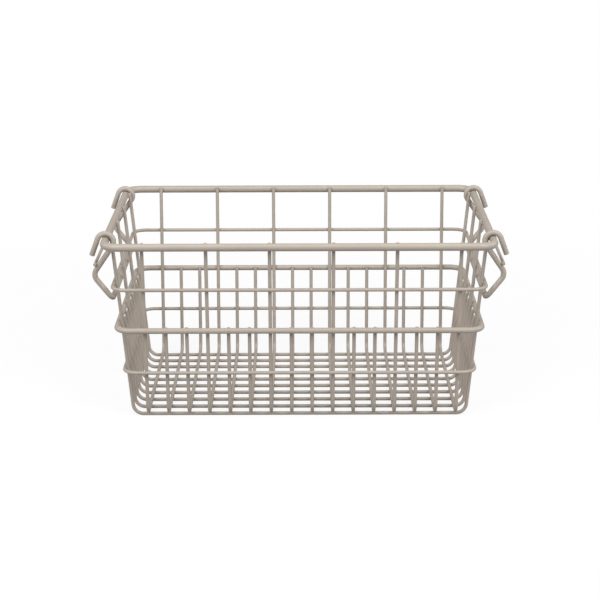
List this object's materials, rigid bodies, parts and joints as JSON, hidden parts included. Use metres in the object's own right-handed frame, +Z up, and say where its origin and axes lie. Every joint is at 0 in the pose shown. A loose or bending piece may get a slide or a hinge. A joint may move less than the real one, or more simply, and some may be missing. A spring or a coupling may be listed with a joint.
{
  "type": "wire locker basket",
  "caption": "Open storage basket of spot-welded, powder-coated steel wire with a thick rim and a swing handle hooked over the rim at each end.",
  "frame": {"origin": "middle of the footprint, on the surface that the basket stands on", "axes": "+X along the length towards the right handle, +Y across the width, +Z up"},
  "size_m": [0.319, 0.2, 0.1501],
  "materials": {
    "coat": "satin warm grey powder coat on steel wire"
  },
  "bodies": {
    "basket": {"rim": "coat", "upper_ring": "coat", "middle_ring": "coat", "lower_ring": "coat", "cross_wire_01": "coat", "cross_wire_02": "coat", "cross_wire_03": "coat", "cross_wire_04": "coat", "cross_wire_05": "coat", "cross_wire_06": "coat", "cross_wire_07": "coat", "cross_wire_08": "coat", "cross_wire_09": "coat", "cross_wire_10": "coat", "cross_wire_11": "coat", "cross_wire_12": "coat", "cross_wire_13": "coat", "cross_wire_14": "coat", "cross_wire_15": "coat", "cross_wire_16": "coat", "long_wire_01": "coat", "long_wire_02": "coat", "long_wire_03": "coat", "long_wire_04": "coat", "long_wire_05": "coat", "long_wire_06": "coat", "long_wire_07": "coat", "long_wire_08": "coat", "long_wire_09": "coat", "long_wire_10": "coat"},
    "left_handle": {"left_handle_bail": "coat", "left_handle_crossbar": "coat"},
    "right_handle": {"right_handle_bail": "coat", "right_handle_crossbar": "coat"}
  },
  "joints": [
    {"name": "left_handle_swing", "type": "hinge", "parent": "basket", "child": "left_handle", "pos_m": [-0.14699, 0, 0.1425], "axis": [0, 1, 0], "range_deg": [0, 308]},
    {"name": "right_handle_swing", "type": "hinge", "parent": "basket", "child": "right_handle", "pos_m": [0.14699, 0, 0.1425], "axis": [0, -1, 0], "range_deg": [0, 308]}
  ]
}
